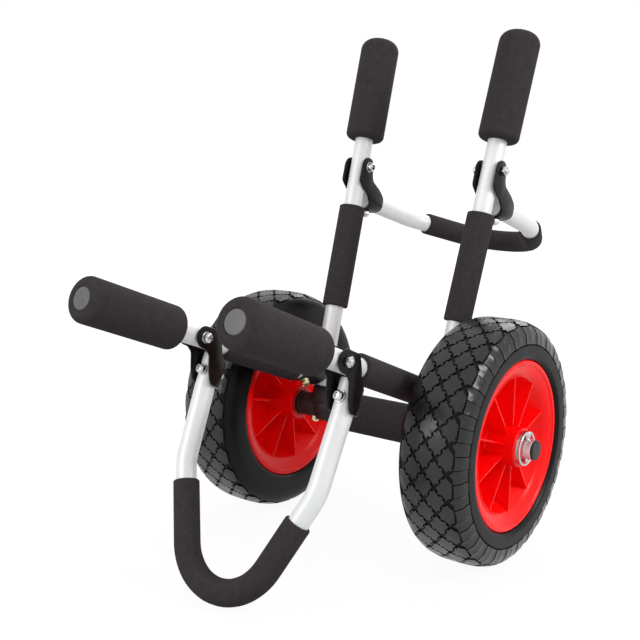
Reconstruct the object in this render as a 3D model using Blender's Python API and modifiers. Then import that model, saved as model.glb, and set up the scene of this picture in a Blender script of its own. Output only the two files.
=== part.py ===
"""Folding paddleboard cart with two dished wheels, padded cradle frames and two swing-out U stands.

Lengths are in metres. +X runs along the axle, -Y is the bumper end and +Z is up.
"""
import math

import bmesh
import bpy
from mathutils import Matrix, Vector

for item in list(bpy.data.objects):
    bpy.data.objects.remove(item, do_unlink=True)

# General fits
GAP = 0.0003
RUNNING_GAP = 0.00012
ROUND_STEPS = 16
WHEEL_STEPS = 32
FOAM_STEPS = 18
BOLT_STEPS = 10
DRILL_STEPS = 10
ARC_STEPS = 3

# Where the axle stands, so that the whole cart is centred on the origin
AXLE_Y = 0.01357
AXLE_Z = 0.150

# Wheels, as radius and distance from the wheel's middle plane
TYRE_RADIUS = 0.150
TYRE_HALF_WIDTH = 0.0425
TYRE_ROUND_FROM = 0.112
TYRE_ROUNDNESS = 3.5
TYRE_WALL = 0.006
BEAD_RADIUS = 0.1045
BEAD_PLANE = 0.0389
BEAD_WIDTH = 0.007
FLANGE_THICKNESS = 0.0025
SEAT_RADIUS = 0.093
SEAT_INNER_PLANE = 0.028
WELL_RADIUS = 0.075
WELL_PLANE = 0.014
LIP_RADIUS = 0.097
FIN_TOP_RADIUS = 0.083
FIN_TOP_PLANE = 0.032
FLOOR_RADIUS = 0.068
FLOOR_PLANE = 0.008
FIN_COUNT = 10
FIN_THICKNESS = 0.0024
FIN_ANGLE_RIGHT = 17.8
FIN_ANGLE_LEFT = 24.3
HUB_RADIUS = 0.0235
HUB_OUTER_FACE = 0.045
HUB_INNER_FACE = -0.035
BUSH_RADIUS = 0.0160
BUSH_LENGTH = 0.018

# Axle
SHAFT_RADIUS = 0.01225
SHAFT_WALL = 0.0020
AXLE_TUBE_RADIUS = 0.0160
AXLE_TUBE_HALF_LENGTH = 0.1249
AXLE_FOAM_RADIUS = 0.0255
AXLE_FOAM_HALF_LENGTH = 0.0719
SPACER_RADIUS = 0.0165
SPACER_LENGTH = 0.0078
WHEEL_X = AXLE_TUBE_HALF_LENGTH + SPACER_LENGTH + 2.0 * GAP - HUB_INNER_FACE
PLUG_CAP = 0.003
PLUG_STEM = 0.006

# Lock pins and their wire rings
PIN_CLEARANCE = 0.0057
SHAFT_END = 0.010
PIN_X = WHEEL_X + HUB_OUTER_FACE + PIN_CLEARANCE
SHAFT_HALF_LENGTH = PIN_X + SHAFT_END
PIN_RADIUS = 0.003
PIN_TIP = 0.0165
PIN_HEAD_RADIUS = 0.0048
PIN_HEAD_HALF_HEIGHT = 0.0045
RING_RADIUS = 0.0196
RING_WIRE = 0.0014
RING_EYE = 0.0022

# Corners of the two side frames
CORNER_X = 0.0925
CORNER_Y = 0.0112
CORNER_Z = 0.18705
UPRIGHT_LEAN = 18.17
ARM_RISE = 21.26
PIVOT_X = 0.1015
TUBE_RADIUS = 0.0122
TUBE_WALL = 0.0015
TUBE_START = 0.0155
ELBOW_RADIUS = 0.0147
ELBOW_ARM_RADIUS = 0.0142
ELBOW_ARM_LENGTH = 0.039
ELBOW_UPRIGHT_LENGTH = 0.045
ELBOW_BORE_START = 0.0145
ELBOW_SCREW_ARM = 0.027
ELBOW_SCREW_UPRIGHT = 0.033

# Distances along the uprights and arms from the corner
UPRIGHT_PIVOT = 0.2963
UPRIGHT_SLEEVE = (0.0993, 0.2399)
GRIP = (0.3353, 0.4765)
ARM_PIVOT = 0.2540
ARM_SLEEVE = (0.0500, 0.2055)
BUMPER = (0.2915, 0.4297)
SLEEVE_RADIUS = 0.0174
BUMPER_RADIUS = 0.0262
FOAM_EDGE = 0.007
SLIM_EDGE = 0.003
GRIP_CAP = 0.010
BUMPER_PLUG_RADIUS = 0.0131
BUMPER_PLUG_DEPTH = 0.006

# Saddles between the axle tube and the elbows
SADDLE_HALF_WIDTH = 0.0155
SADDLE_HALF_DEPTH = 0.018
SADDLE_BOTTOM = 0.002
SADDLE_TOP = 0.0285
SADDLE_COLLAR_RADIUS = 0.019
SADDLE_COLLAR_END = 0.084

# Stands: U bars seen face on, as distance from the middle and distance from the pivot
STAND_OFFSET = 0.040
FRONT_STAND_ANGLE = 24.83
REAR_STAND_ANGLE = 73.70
LEG_START = 0.009
LEG_STRAIGHT_END = 0.050
BEND_X = 0.0972
BEND_S = 0.1433
BEND_RADIUS = 0.074
V_ANGLE = 22.36
BOTTOM_RADIUS = 0.0655
STAND_FOAM_RADIUS = 0.0155
STAND_FOAM_BORE = 0.0130
STAND_FOAM_STARTS = {"front": (0.1655, 0.1760), "rear": (0.1720, 0.1660)}
STAND_WALL = 0.0018

# Brackets: pressed channels, p towards the corner and q along the leg
EAR_INNER = 0.0135
EAR_SHEET = 0.0023
WEB_DEPTH = 0.0125
EAR_OUTLINE = (
    (-0.0128, -0.0130, 0.0128), (0.0220, -0.0140, 0.008), (0.0315, 0.0000, 0.008), (0.0360, 0.0090, 0.003),
    (0.0400, 0.0130, 0.002), (0.0560, 0.0270, 0.0), (0.0560, 0.0500, 0.010), (0.0335, 0.0500, 0.006),
    (0.0285, 0.0450, 0.006), (0.0230, 0.0360, 0.020), (0.0155, 0.0175, 0.008), (0.0070, 0.0130, 0.008),
    (-0.0128, 0.0130, 0.0128))
STAND_BOLT_Q = 0.0335

# Fasteners
BOLT_RADIUS = 0.004
BOLT_HOLE = 0.0044
HEAD_RADIUS = 0.0065
HEAD_HEIGHT = 0.0060
WASHER_RADIUS = 0.0078
WASHER_HEIGHT = 0.0014
SOCKET_RADIUS = 0.0029
SOCKET_DEPTH = 0.0028
NUT_RADIUS = 0.0072
NUT_HEIGHT = 0.0065
SCREW_RADIUS = 0.003
SCREW_HEAD_RADIUS = 0.0055
SCREW_HEAD_HEIGHT = 0.0045

SIDES = (("left", -1.0), ("right", 1.0))

cutters = bpy.data.collections.new("cutters")
bpy.context.scene.collection.children.link(cutters)


def material(name, colour, roughness, metallic):
    """A plain Principled material."""
    result = bpy.data.materials.new(name)
    result.use_nodes = True
    shader = result.node_tree.nodes["Principled BSDF"]
    shader.inputs["Base Color"].default_value = (*colour, 1.0)
    shader.inputs["Roughness"].default_value = roughness
    shader.inputs["Metallic"].default_value = metallic
    return result


RUBBER = material("tyre_rubber", (0.03, 0.03, 0.032), 0.75, 0.0)
RED = material("red_plastic", (0.72, 0.01, 0.012), 0.25, 0.0)
ANODISED = material("anodised_aluminium", (0.72, 0.73, 0.75), 0.35, 0.8)
ZINC = material("zinc_steel", (0.62, 0.62, 0.63), 0.28, 1.0)
BLACK_PLASTIC = material("black_plastic", (0.025, 0.025, 0.027), 0.45, 0.0)
BLACK_METAL = material("black_coated_metal", (0.03, 0.03, 0.032), 0.4, 0.0)
GREY_PLASTIC = material("grey_plastic", (0.23, 0.23, 0.24), 0.5, 0.0)
BUSH_PLASTIC = material("bush_nylon", (0.5, 0.5, 0.48), 0.5, 0.0)
FOAM = material("charcoal_foam", (0.04, 0.039, 0.04), 0.9, 0.0)


def frame_at(origin, z_axis, x_axis):
    """A matrix at origin whose local Z is z_axis and whose local X is as near x_axis as it can be."""
    z = Vector(z_axis).normalized()
    y = z.cross(Vector(x_axis)).normalized()
    x = y.cross(z)
    matrix = Matrix((x, y, z)).transposed().to_4x4()
    matrix.translation = Vector(origin)
    return matrix


def add(name, mesh, matrix, look, helper=False):
    """Link a mesh as a named piece, or as a hidden cutter."""
    obj = bpy.data.objects.new(name, mesh)
    obj.matrix_world = matrix
    if helper:
        cutters.objects.link(obj)
        obj.hide_render = True
        obj.display_type = "WIRE"
    else:
        bpy.context.scene.collection.objects.link(obj)
        mesh.materials.append(look)
    return obj


def boolean(obj, operation, cutter):
    """Combine obj with a helper solid."""
    modifier = obj.modifiers.new(cutter.name, "BOOLEAN")
    modifier.operation = operation
    modifier.solver = "EXACT"
    modifier.object = cutter
    return obj


def weld(obj):
    """Merge the doubled corner points that several cuts leave behind."""
    modifier = obj.modifiers.new("weld", "WELD")
    modifier.merge_threshold = 5e-6


def lathe(name, outline, matrix, look, steps=ROUND_STEPS, helper=False):
    """Turn an outline of (radius, height) points about the local Z axis.

    The outline runs down the outer side. It closes on itself unless it starts and ends on the axis.
    """
    mesh = bpy.data.meshes.new(name)
    edges = [(i, i + 1) for i in range(len(outline) - 1)]
    if outline[0][0] > 0.0:
        edges.append((len(outline) - 1, 0))
    mesh.from_pydata([(radius, 0.0, height) for radius, height in outline], edges, [])
    obj = add(name, mesh, matrix, look, helper)
    screw = obj.modifiers.new("turn", "SCREW")
    screw.axis = "Z"
    screw.angle = math.tau
    screw.steps = steps
    screw.render_steps = steps
    screw.use_merge_vertices = True
    screw.merge_threshold = 1e-5
    screw.use_normal_calculate = False
    screw.use_smooth_shade = False
    return obj


def ring(inner, outer, low, high, chamfer=0.0):
    """Outline of a plain or chamfered ring."""
    if chamfer == 0.0:
        return [(outer, high), (outer, low), (inner, low), (inner, high)]
    return [(outer - chamfer, high), (outer, high - chamfer), (outer, low + chamfer), (outer - chamfer, low),
            (inner, low), (inner, high)]


def rod(radius, low, high, chamfer=0.0):
    """Outline of a solid rod that starts and ends on the axis."""
    if chamfer == 0.0:
        return [(0.0, high), (radius, high), (radius, low), (0.0, low)]
    return [(0.0, high), (radius - chamfer, high), (radius, high - chamfer), (radius, low + chamfer),
            (radius - chamfer, low), (0.0, low)]


def arc(centre, radius, start, end, steps):
    """Points of an arc about centre, angles in degrees from the first axis."""
    points = []
    for i in range(steps + 1):
        angle = math.radians(start + (end - start) * i / steps)
        points.append((centre[0] + radius * math.cos(angle), centre[1] + radius * math.sin(angle)))
    return points


def padded_ring(inner, outer, low, high, edge):
    """Outline of a foam sleeve with rounded outer edges."""
    return (arc((outer - edge, high - edge), edge, 90.0, 0.0, 2) + arc((outer - edge, low + edge), edge, 0.0, -90.0, 2)
            + [(inner, low), (inner, high)])


def fillet(corners, closed, step_angle):
    """Round a path of (x, y, radius) corners, with one point about every step_angle degrees."""
    points = []
    count = len(corners)
    for i, (x, y, radius) in enumerate(corners):
        here = Vector((x, y))
        if radius == 0.0 or (not closed and i in (0, count - 1)):
            points.append(here)
            continue
        back = (Vector(corners[i - 1][:2]) - here).normalized()
        ahead = (Vector(corners[(i + 1) % count][:2]) - here).normalized()
        half = back.angle(ahead) / 2.0
        centre = here + (back + ahead).normalized() * radius / math.sin(half)
        first = here + back * radius / math.tan(half) - centre
        turn = first.angle_signed(here + ahead * radius / math.tan(half) - centre)
        steps = max(1, round(abs(math.degrees(turn)) / step_angle))
        for k in range(steps + 1):
            points.append(centre + Matrix.Rotation(-turn * k / steps, 2) @ first)
    return points


def prism(name, outline, low, high, matrix, look=None, helper=False):
    """Extrude a flat outline along the local Z axis."""
    mesh = bpy.data.meshes.new(name)
    shape = bmesh.new()
    face = shape.faces.new([shape.verts.new((x, y, low)) for x, y in outline])
    top = bmesh.ops.extrude_face_region(shape, geom=[face])
    moved = [part for part in top["geom"] if isinstance(part, bmesh.types.BMVert)]
    bmesh.ops.translate(shape, verts=moved, vec=(0.0, 0.0, high - low))
    bmesh.ops.recalc_face_normals(shape, faces=shape.faces)
    shape.to_mesh(mesh)
    shape.free()
    return add(name, mesh, matrix, look, helper)


def drill(obj, radius, start, end, label, steps=DRILL_STEPS):
    """Cut a round hole through obj from start to end."""
    direction = Vector(end) - Vector(start)
    side = Vector((1.0, 0.0, 0.0)) if abs(direction.normalized().x) < 0.9 else Vector((0.0, 1.0, 0.0))
    matrix = frame_at(start, direction, side)
    tool = lathe(f"{obj.name}_{label}", rod(radius, 0.0, direction.length), matrix, None, steps, True)
    return boolean(obj, "DIFFERENCE", tool)


def bolt(name, head_seat, direction, grip):
    """A socket-head bolt with washer, and a hexagon nut at its far end, all one turned solid."""
    side = Vector((0.0, 0.0, 1.0)) if abs(Vector(direction).normalized().z) < 0.9 else Vector((1.0, 0.0, 0.0))
    matrix = frame_at(head_seat, direction, side)
    head_base = -GAP - WASHER_HEIGHT
    head_top = head_base - HEAD_HEIGHT
    nut_base = grip + GAP
    tip = nut_base + NUT_HEIGHT + 0.0015
    outline = [(0.0, tip), (BOLT_RADIUS - 0.0006, tip), (BOLT_RADIUS, tip - 0.0006), (BOLT_RADIUS, -GAP),
               (WASHER_RADIUS, -GAP), (WASHER_RADIUS, head_base), (HEAD_RADIUS, head_base),
               (HEAD_RADIUS, head_top + 0.0025), (HEAD_RADIUS - 0.001, head_top + 0.0007),
               (HEAD_RADIUS - 0.0025, head_top), (0.0, head_top)]
    piece = lathe(name, outline, matrix, ZINC, BOLT_STEPS)
    hexagon = arc((0.0, 0.0), SOCKET_RADIUS, 0.0, 300.0, 5)
    socket = prism(name + "_socket", hexagon, head_top - 0.001, head_top + SOCKET_DEPTH, matrix, None, True)
    boolean(piece, "DIFFERENCE", socket)
    hexagon = arc((0.0, 0.0), NUT_RADIUS, 0.0, 300.0, 5)
    nut = prism(name + "_nut", hexagon, nut_base, nut_base + NUT_HEIGHT, matrix, None, True)
    boolean(piece, "UNION", nut)
    return piece


def screw(name, head_seat, direction, length):
    """A short button-head screw without a nut."""
    side = Vector((1.0, 0.0, 0.0))
    matrix = frame_at(head_seat, direction, side)
    base = -GAP
    top = base - SCREW_HEAD_HEIGHT
    outline = [(0.0, length), (SCREW_RADIUS, length), (SCREW_RADIUS, base), (SCREW_HEAD_RADIUS, base),
               (SCREW_HEAD_RADIUS, base - 0.0015), (SCREW_HEAD_RADIUS - 0.0015, top + 0.0008),
               (SCREW_HEAD_RADIUS - 0.003, top), (0.0, top)]
    piece = lathe(name, outline, matrix, ZINC, BOLT_STEPS)
    hexagon = arc((0.0, 0.0), SOCKET_RADIUS * 0.8, 0.0, 300.0, 5)
    socket = prism(name + "_socket", hexagon, top - 0.001, top + SOCKET_DEPTH * 0.8, matrix, None, True)
    return boolean(piece, "DIFFERENCE", socket)


# Wheels: an open-backed tyre shell on a dished rim with radial fins on both faces
def tyre_half(radius, half_width, start, steps):
    """Rounded half section of the tyre from its shoulder to its crown, as (radius, plane)."""
    points = []
    for i in range(steps):
        angle = math.pi / 2.0 * i / steps
        size = (math.cos(angle) ** TYRE_ROUNDNESS + math.sin(angle) ** TYRE_ROUNDNESS) ** (-1.0 / TYRE_ROUNDNESS)
        points.append((start + (radius - start) * math.sin(angle) * size, half_width * math.cos(angle) * size))
    return points


def mirrored(points):
    """Outline points followed by their mirror image in the middle plane."""
    return points + [(radius, -plane) for radius, plane in reversed(points)]


flange_inner = BEAD_PLANE - FLANGE_THICKNESS
tyre_outer = [(SEAT_RADIUS + GAP, flange_inner - GAP), (BEAD_RADIUS + GAP, flange_inner - GAP),
              (BEAD_RADIUS + GAP, BEAD_PLANE), (TYRE_ROUND_FROM - 0.004, TYRE_HALF_WIDTH - 0.0003)]
tyre_outer += tyre_half(TYRE_RADIUS, TYRE_HALF_WIDTH, TYRE_ROUND_FROM, 5)
tyre_inner = [(SEAT_RADIUS + GAP, flange_inner - BEAD_WIDTH), (BEAD_RADIUS - 0.002, flange_inner - BEAD_WIDTH)]
tyre_inner += tyre_half(TYRE_RADIUS - TYRE_WALL, TYRE_HALF_WIDTH - TYRE_WALL, TYRE_ROUND_FROM, 2)
tyre_outline = (mirrored(tyre_outer + [(TYRE_RADIUS, 0.004)]) + list(reversed(mirrored(tyre_inner + [(TYRE_RADIUS - TYRE_WALL, 0.004)]))))

rim_outer = [(LIP_RADIUS, BEAD_PLANE - 0.0012), (LIP_RADIUS + 0.0015, BEAD_PLANE), (BEAD_RADIUS - 0.0015, BEAD_PLANE),
             (BEAD_RADIUS, BEAD_PLANE - 0.0012), (BEAD_RADIUS, flange_inner), (SEAT_RADIUS, flange_inner),
             (SEAT_RADIUS, SEAT_INNER_PLANE), (WELL_RADIUS, WELL_PLANE)]
rim_face = [(FIN_TOP_RADIUS, FIN_TOP_PLANE), (FLOOR_RADIUS, FLOOR_PLANE), (HUB_RADIUS + 0.001, FLOOR_PLANE)]
hub_outer = [(HUB_RADIUS, HUB_OUTER_FACE - 0.001),
             (HUB_RADIUS - 0.001, HUB_OUTER_FACE), (BUSH_RADIUS + GAP, HUB_OUTER_FACE)]
hub_inner = [(BUSH_RADIUS + GAP, HUB_INNER_FACE), (HUB_RADIUS - 0.001, HUB_INNER_FACE),
             (HUB_RADIUS, HUB_INNER_FACE + 0.001)]
rim_outline = (mirrored(rim_outer) + [(radius, -plane) for radius, plane in rim_face]
               + list(reversed(hub_inner)) + list(reversed(hub_outer)) + list(reversed(rim_face)))
fin_outline = [(HUB_RADIUS - 0.003, -FIN_TOP_PLANE), (FIN_TOP_RADIUS + 0.002, -FIN_TOP_PLANE),
               (FLOOR_RADIUS + 0.002, -FLOOR_PLANE), (FLOOR_RADIUS + 0.002, FLOOR_PLANE),
               (FIN_TOP_RADIUS + 0.002, FIN_TOP_PLANE), (HUB_RADIUS - 0.003, FIN_TOP_PLANE)]


def fins(name, first_angle, matrix):
    """All the radial fins of one rim as one helper mesh, each crossing the web."""
    mesh = bpy.data.meshes.new(name)
    shape = bmesh.new()
    for k in range(FIN_COUNT):
        turn = Matrix.Rotation(math.radians(first_angle + 360.0 * k / FIN_COUNT), 4, "Z")
        ends = []
        for offset in (-FIN_THICKNESS / 2.0, FIN_THICKNESS / 2.0):
            ends.append([shape.verts.new(turn @ Vector((radius, offset, plane))) for radius, plane in fin_outline])
        faces = [shape.faces.new(ends[0]), shape.faces.new(reversed(ends[1]))]
        faces += bmesh.ops.bridge_loops(shape, edges=list(faces[0].edges) + list(faces[1].edges))["faces"]
    bmesh.ops.recalc_face_normals(shape, faces=shape.faces)
    shape.to_mesh(mesh)
    shape.free()
    return add(name, mesh, matrix, None, True)


for side_name, side in SIDES:
    centre = Vector((side * WHEEL_X, AXLE_Y, AXLE_Z))
    wheel = frame_at(centre, (side, 0.0, 0.0), (0.0, 1.0, 0.0))
    lathe(f"tyre_{side_name}", tyre_outline, wheel, RUBBER, WHEEL_STEPS)
    rim = lathe(f"rim_{side_name}", rim_outline, wheel, RED, WHEEL_STEPS)
    angle = FIN_ANGLE_RIGHT if side > 0.0 else -FIN_ANGLE_LEFT
    boolean(rim, "UNION", fins(f"rim_{side_name}_fins", angle, wheel))
    # The flats of the coarse bore still clear the shaft's corners as the wheel turns
    bush_inner = (SHAFT_RADIUS + RUNNING_GAP) / math.cos(math.pi / ROUND_STEPS)
    lathe(f"hub_bush_outer_{side_name}",
          ring(bush_inner, BUSH_RADIUS, HUB_OUTER_FACE - BUSH_LENGTH, HUB_OUTER_FACE - 0.0008), wheel, BUSH_PLASTIC)
    lathe(f"hub_bush_inner_{side_name}",
          ring(bush_inner, BUSH_RADIUS, HUB_INNER_FACE + 0.0008, HUB_INNER_FACE + BUSH_LENGTH), wheel, BUSH_PLASTIC)

# Axle shaft, outer tube, middle foam, spacers, end plugs
axle = frame_at((0.0, AXLE_Y, AXLE_Z), (1.0, 0.0, 0.0), (0.0, 1.0, 0.0))
shaft = lathe("axle_shaft", ring(SHAFT_RADIUS - SHAFT_WALL, SHAFT_RADIUS, -SHAFT_HALF_LENGTH, SHAFT_HALF_LENGTH),
              axle, ZINC)
axle_tube = lathe("axle_tube", ring(SHAFT_RADIUS + GAP, AXLE_TUBE_RADIUS, -AXLE_TUBE_HALF_LENGTH,
                                    AXLE_TUBE_HALF_LENGTH, 0.0006), axle, BLACK_METAL)
lathe("axle_foam", padded_ring(AXLE_TUBE_RADIUS + GAP, AXLE_FOAM_RADIUS, -AXLE_FOAM_HALF_LENGTH,
                               AXLE_FOAM_HALF_LENGTH, 0.004), axle, FOAM, FOAM_STEPS)
spacer_start = AXLE_TUBE_HALF_LENGTH + GAP
for side_name, side in SIDES:
    outward = frame_at((0.0, AXLE_Y, AXLE_Z), (side, 0.0, 0.0), (0.0, 1.0, 0.0))
    lathe(f"axle_spacer_{side_name}", ring(SHAFT_RADIUS + GAP, SPACER_RADIUS, spacer_start,
                                           spacer_start + SPACER_LENGTH, 0.0008), outward, BLACK_PLASTIC)
    bore = SHAFT_RADIUS - SHAFT_WALL
    cap_start = SHAFT_HALF_LENGTH + GAP
    plug = [(0.0, cap_start + PLUG_CAP), (SHAFT_RADIUS - 0.0015, cap_start + PLUG_CAP),
            (SHAFT_RADIUS, cap_start + PLUG_CAP - 0.0015), (SHAFT_RADIUS, cap_start), (bore - GAP, cap_start),
            (bore - GAP, cap_start - PLUG_STEM), (0.0, cap_start - PLUG_STEM)]
    lathe(f"axle_plug_{side_name}", plug, outward, BLACK_PLASTIC)

    # Lock pin through the shaft, with a wire ring that swings in the eye of its head
    pin_place = frame_at((side * PIN_X, AXLE_Y, AXLE_Z), (0.0, 0.0, 1.0), (1.0, 0.0, 0.0))
    head_low = RING_RADIUS - PIN_HEAD_HALF_HEIGHT
    head_high = RING_RADIUS + PIN_HEAD_HALF_HEIGHT
    pin_outline = [(0.0, head_high), (PIN_HEAD_RADIUS - 0.0015, head_high), (PIN_HEAD_RADIUS, head_high - 0.0015),
                   (PIN_HEAD_RADIUS, head_low), (PIN_RADIUS, head_low), (PIN_RADIUS, 0.002 - PIN_TIP),
                   (PIN_RADIUS - 0.0015, -PIN_TIP), (0.0, -PIN_TIP)]
    pin = lathe(f"lock_pin_{side_name}", pin_outline, pin_place, ZINC, BOLT_STEPS)
    eye = Vector((side * PIN_X, AXLE_Y, AXLE_Z + RING_RADIUS))
    drill(pin, RING_EYE, eye - Vector((0.0, 0.02, 0.0)), eye + Vector((0.0, 0.02, 0.0)), "eye")
    wire = [(RING_RADIUS + x, y) for x, y in arc((0.0, 0.0), RING_WIRE, 90.0, -210.0, 5)]
    ring_place = frame_at((side * PIN_X, AXLE_Y, AXLE_Z), (side, 0.0, 0.0), (0.0, 1.0, 0.0))
    lathe(f"lock_ring_{side_name}", wire, ring_place, ZINC, 24)
    drill(shaft, PIN_RADIUS + GAP, (side * PIN_X, AXLE_Y, AXLE_Z - 0.02), (side * PIN_X, AXLE_Y, AXLE_Z + 0.02),
          f"pin_{side_name}")

# Side frames: elbow, upright, arm and their foam
lean = math.radians(UPRIGHT_LEAN)
rise = math.radians(ARM_RISE)
upright_splay = math.asin((PIVOT_X - CORNER_X) / UPRIGHT_PIVOT)
arm_splay = math.asin((PIVOT_X - CORNER_X) / ARM_PIVOT)
axle_point = Vector((0.0, AXLE_Y, AXLE_Z))
corner_rise = Vector((0.0, CORNER_Y, CORNER_Z - AXLE_Z))


def upright_direction(side):
    """Unit vector up one upright."""
    level = math.cos(upright_splay)
    return Vector((side * math.sin(upright_splay), level * math.sin(lean), level * math.cos(lean)))


def arm_direction(side):
    """Unit vector out along one arm."""
    level = math.cos(arm_splay)
    return Vector((side * math.sin(arm_splay), -level * math.cos(rise), level * math.sin(rise)))


front_pivot = corner_rise + axle_point + ARM_PIVOT * arm_direction(1.0)
rear_pivot = corner_rise + axle_point + UPRIGHT_PIVOT * upright_direction(1.0)
front_out = Vector((0.0, -math.sin(math.radians(FRONT_STAND_ANGLE)), -math.cos(math.radians(FRONT_STAND_ANGLE))))
front_in = Vector((0.0, -front_out.z, front_out.y))
rear_out = Vector((0.0, math.sin(math.radians(REAR_STAND_ANGLE)), -math.cos(math.radians(REAR_STAND_ANGLE))))
rear_in = Vector((0.0, rear_out.z, -rear_out.y))
x_unit = Vector((1.0, 0.0, 0.0))
bolt_down = corner_rise.normalized()

for side_name, side in SIDES:
    corner = corner_rise + axle_point + Vector((side * CORNER_X, 0.0, 0.0))
    up = upright_direction(side)
    out = arm_direction(side)
    along_upright = frame_at(corner, up, x_unit)
    along_arm = frame_at(corner, out, x_unit)

    upright = lathe(f"upright_{side_name}", ring(TUBE_RADIUS - TUBE_WALL, TUBE_RADIUS, TUBE_START,
                                                 GRIP[1] - GRIP_CAP - GAP), along_upright, ANODISED)
    arm = lathe(f"arm_{side_name}", ring(TUBE_RADIUS - TUBE_WALL, TUBE_RADIUS, TUBE_START,
                                         BUMPER[1] - BUMPER_PLUG_DEPTH - GAP), along_arm, ANODISED)
    foam_bore = TUBE_RADIUS + GAP
    lathe(f"upright_sleeve_{side_name}", padded_ring(foam_bore, SLEEVE_RADIUS, *UPRIGHT_SLEEVE, SLIM_EDGE),
          along_upright, FOAM, FOAM_STEPS)
    lathe(f"arm_sleeve_{side_name}", padded_ring(foam_bore, SLEEVE_RADIUS, *ARM_SLEEVE, SLIM_EDGE), along_arm, FOAM,
          FOAM_STEPS)
    grip_bore_end = GRIP[1] - GRIP_CAP
    dome = BUMPER_RADIUS - 0.010
    grip = ([(0.0, GRIP[1])] + arc((BUMPER_RADIUS - dome, GRIP[1] - dome), dome, 90.0, 0.0, 4)
            + arc((BUMPER_RADIUS - FOAM_EDGE, GRIP[0] + FOAM_EDGE), FOAM_EDGE, 0.0, -90.0, ARC_STEPS)
            + [(foam_bore, GRIP[0]), (foam_bore, grip_bore_end), (0.0, grip_bore_end)])
    lathe(f"grip_{side_name}", grip, along_upright, FOAM, FOAM_STEPS)
    plug_seat = BUMPER[1] - BUMPER_PLUG_DEPTH
    plug_bore = BUMPER_PLUG_RADIUS + GAP
    bumper = (arc((BUMPER_RADIUS - FOAM_EDGE, BUMPER[1] - FOAM_EDGE), FOAM_EDGE, 90.0, 0.0, ARC_STEPS)
              + arc((BUMPER_RADIUS - FOAM_EDGE, BUMPER[0] + FOAM_EDGE), FOAM_EDGE, 0.0, -90.0, ARC_STEPS)
              + [(foam_bore, BUMPER[0]), (foam_bore, plug_seat), (plug_bore, plug_seat), (plug_bore, BUMPER[1])])
    lathe(f"bumper_{side_name}", bumper, along_arm, FOAM, FOAM_STEPS)
    stem = TUBE_RADIUS - TUBE_WALL - GAP
    cap_low = plug_seat + GAP
    plug = [(0.0, BUMPER[1] + 0.0005), (BUMPER_PLUG_RADIUS - 0.003, BUMPER[1] + 0.0005),
            (BUMPER_PLUG_RADIUS, BUMPER[1] - 0.002), (BUMPER_PLUG_RADIUS, cap_low), (stem, cap_low),
            (stem, cap_low - 0.014), (0.0, cap_low - 0.014)]
    lathe(f"bumper_plug_{side_name}", plug, along_arm, GREY_PLASTIC)

    # Elbow with a socket for each tube
    ball = arc((0.0, 0.0), ELBOW_RADIUS, 0.0, -90.0, 4)
    elbow_outline = ([(0.0, ELBOW_UPRIGHT_LENGTH), (ELBOW_RADIUS - 0.001, ELBOW_UPRIGHT_LENGTH),
                      (ELBOW_RADIUS, ELBOW_UPRIGHT_LENGTH - 0.001)] + ball[:-1] + [(0.0, -ELBOW_RADIUS)])
    elbow = lathe(f"elbow_{side_name}", elbow_outline, along_upright, BLACK_PLASTIC)
    socket = lathe(f"elbow_{side_name}_arm_socket", rod(ELBOW_ARM_RADIUS, 0.0, ELBOW_ARM_LENGTH, 0.001),
                   along_arm, None, ROUND_STEPS, True)
    boolean(elbow, "UNION", socket)
    for label, way, matrix in (("upright", up, along_upright), ("arm", out, along_arm)):
        tool = lathe(f"elbow_{side_name}_{label}_bore", rod(TUBE_RADIUS + GAP, ELBOW_BORE_START, 0.06), matrix, None,
                     ROUND_STEPS, True)
        boolean(elbow, "DIFFERENCE", tool)
    under = Vector((0.0, out.y, out.z)).cross(x_unit).normalized()
    if under.z > 0.0:
        under = -under
    behind = Vector((0.0, up.y, up.z)).cross(x_unit).normalized()
    if behind.y < 0.0:
        behind = -behind
    for label, way, normal, distance, reach, tube in (
            ("arm", out, under, ELBOW_SCREW_ARM, ELBOW_ARM_RADIUS, arm),
            ("upright", up, behind, ELBOW_SCREW_UPRIGHT, ELBOW_RADIUS, upright)):
        seat = corner + way * distance + normal * reach
        inside = seat - normal * 0.0075
        screw(f"elbow_screw_{label}_{side_name}", seat, -normal, 0.0065)
        drill(elbow, SCREW_RADIUS + GAP, seat + normal * 0.003, inside, f"{label}_screw")
        drill(tube, SCREW_RADIUS + GAP, seat + normal * 0.003, inside, "screw")

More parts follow.
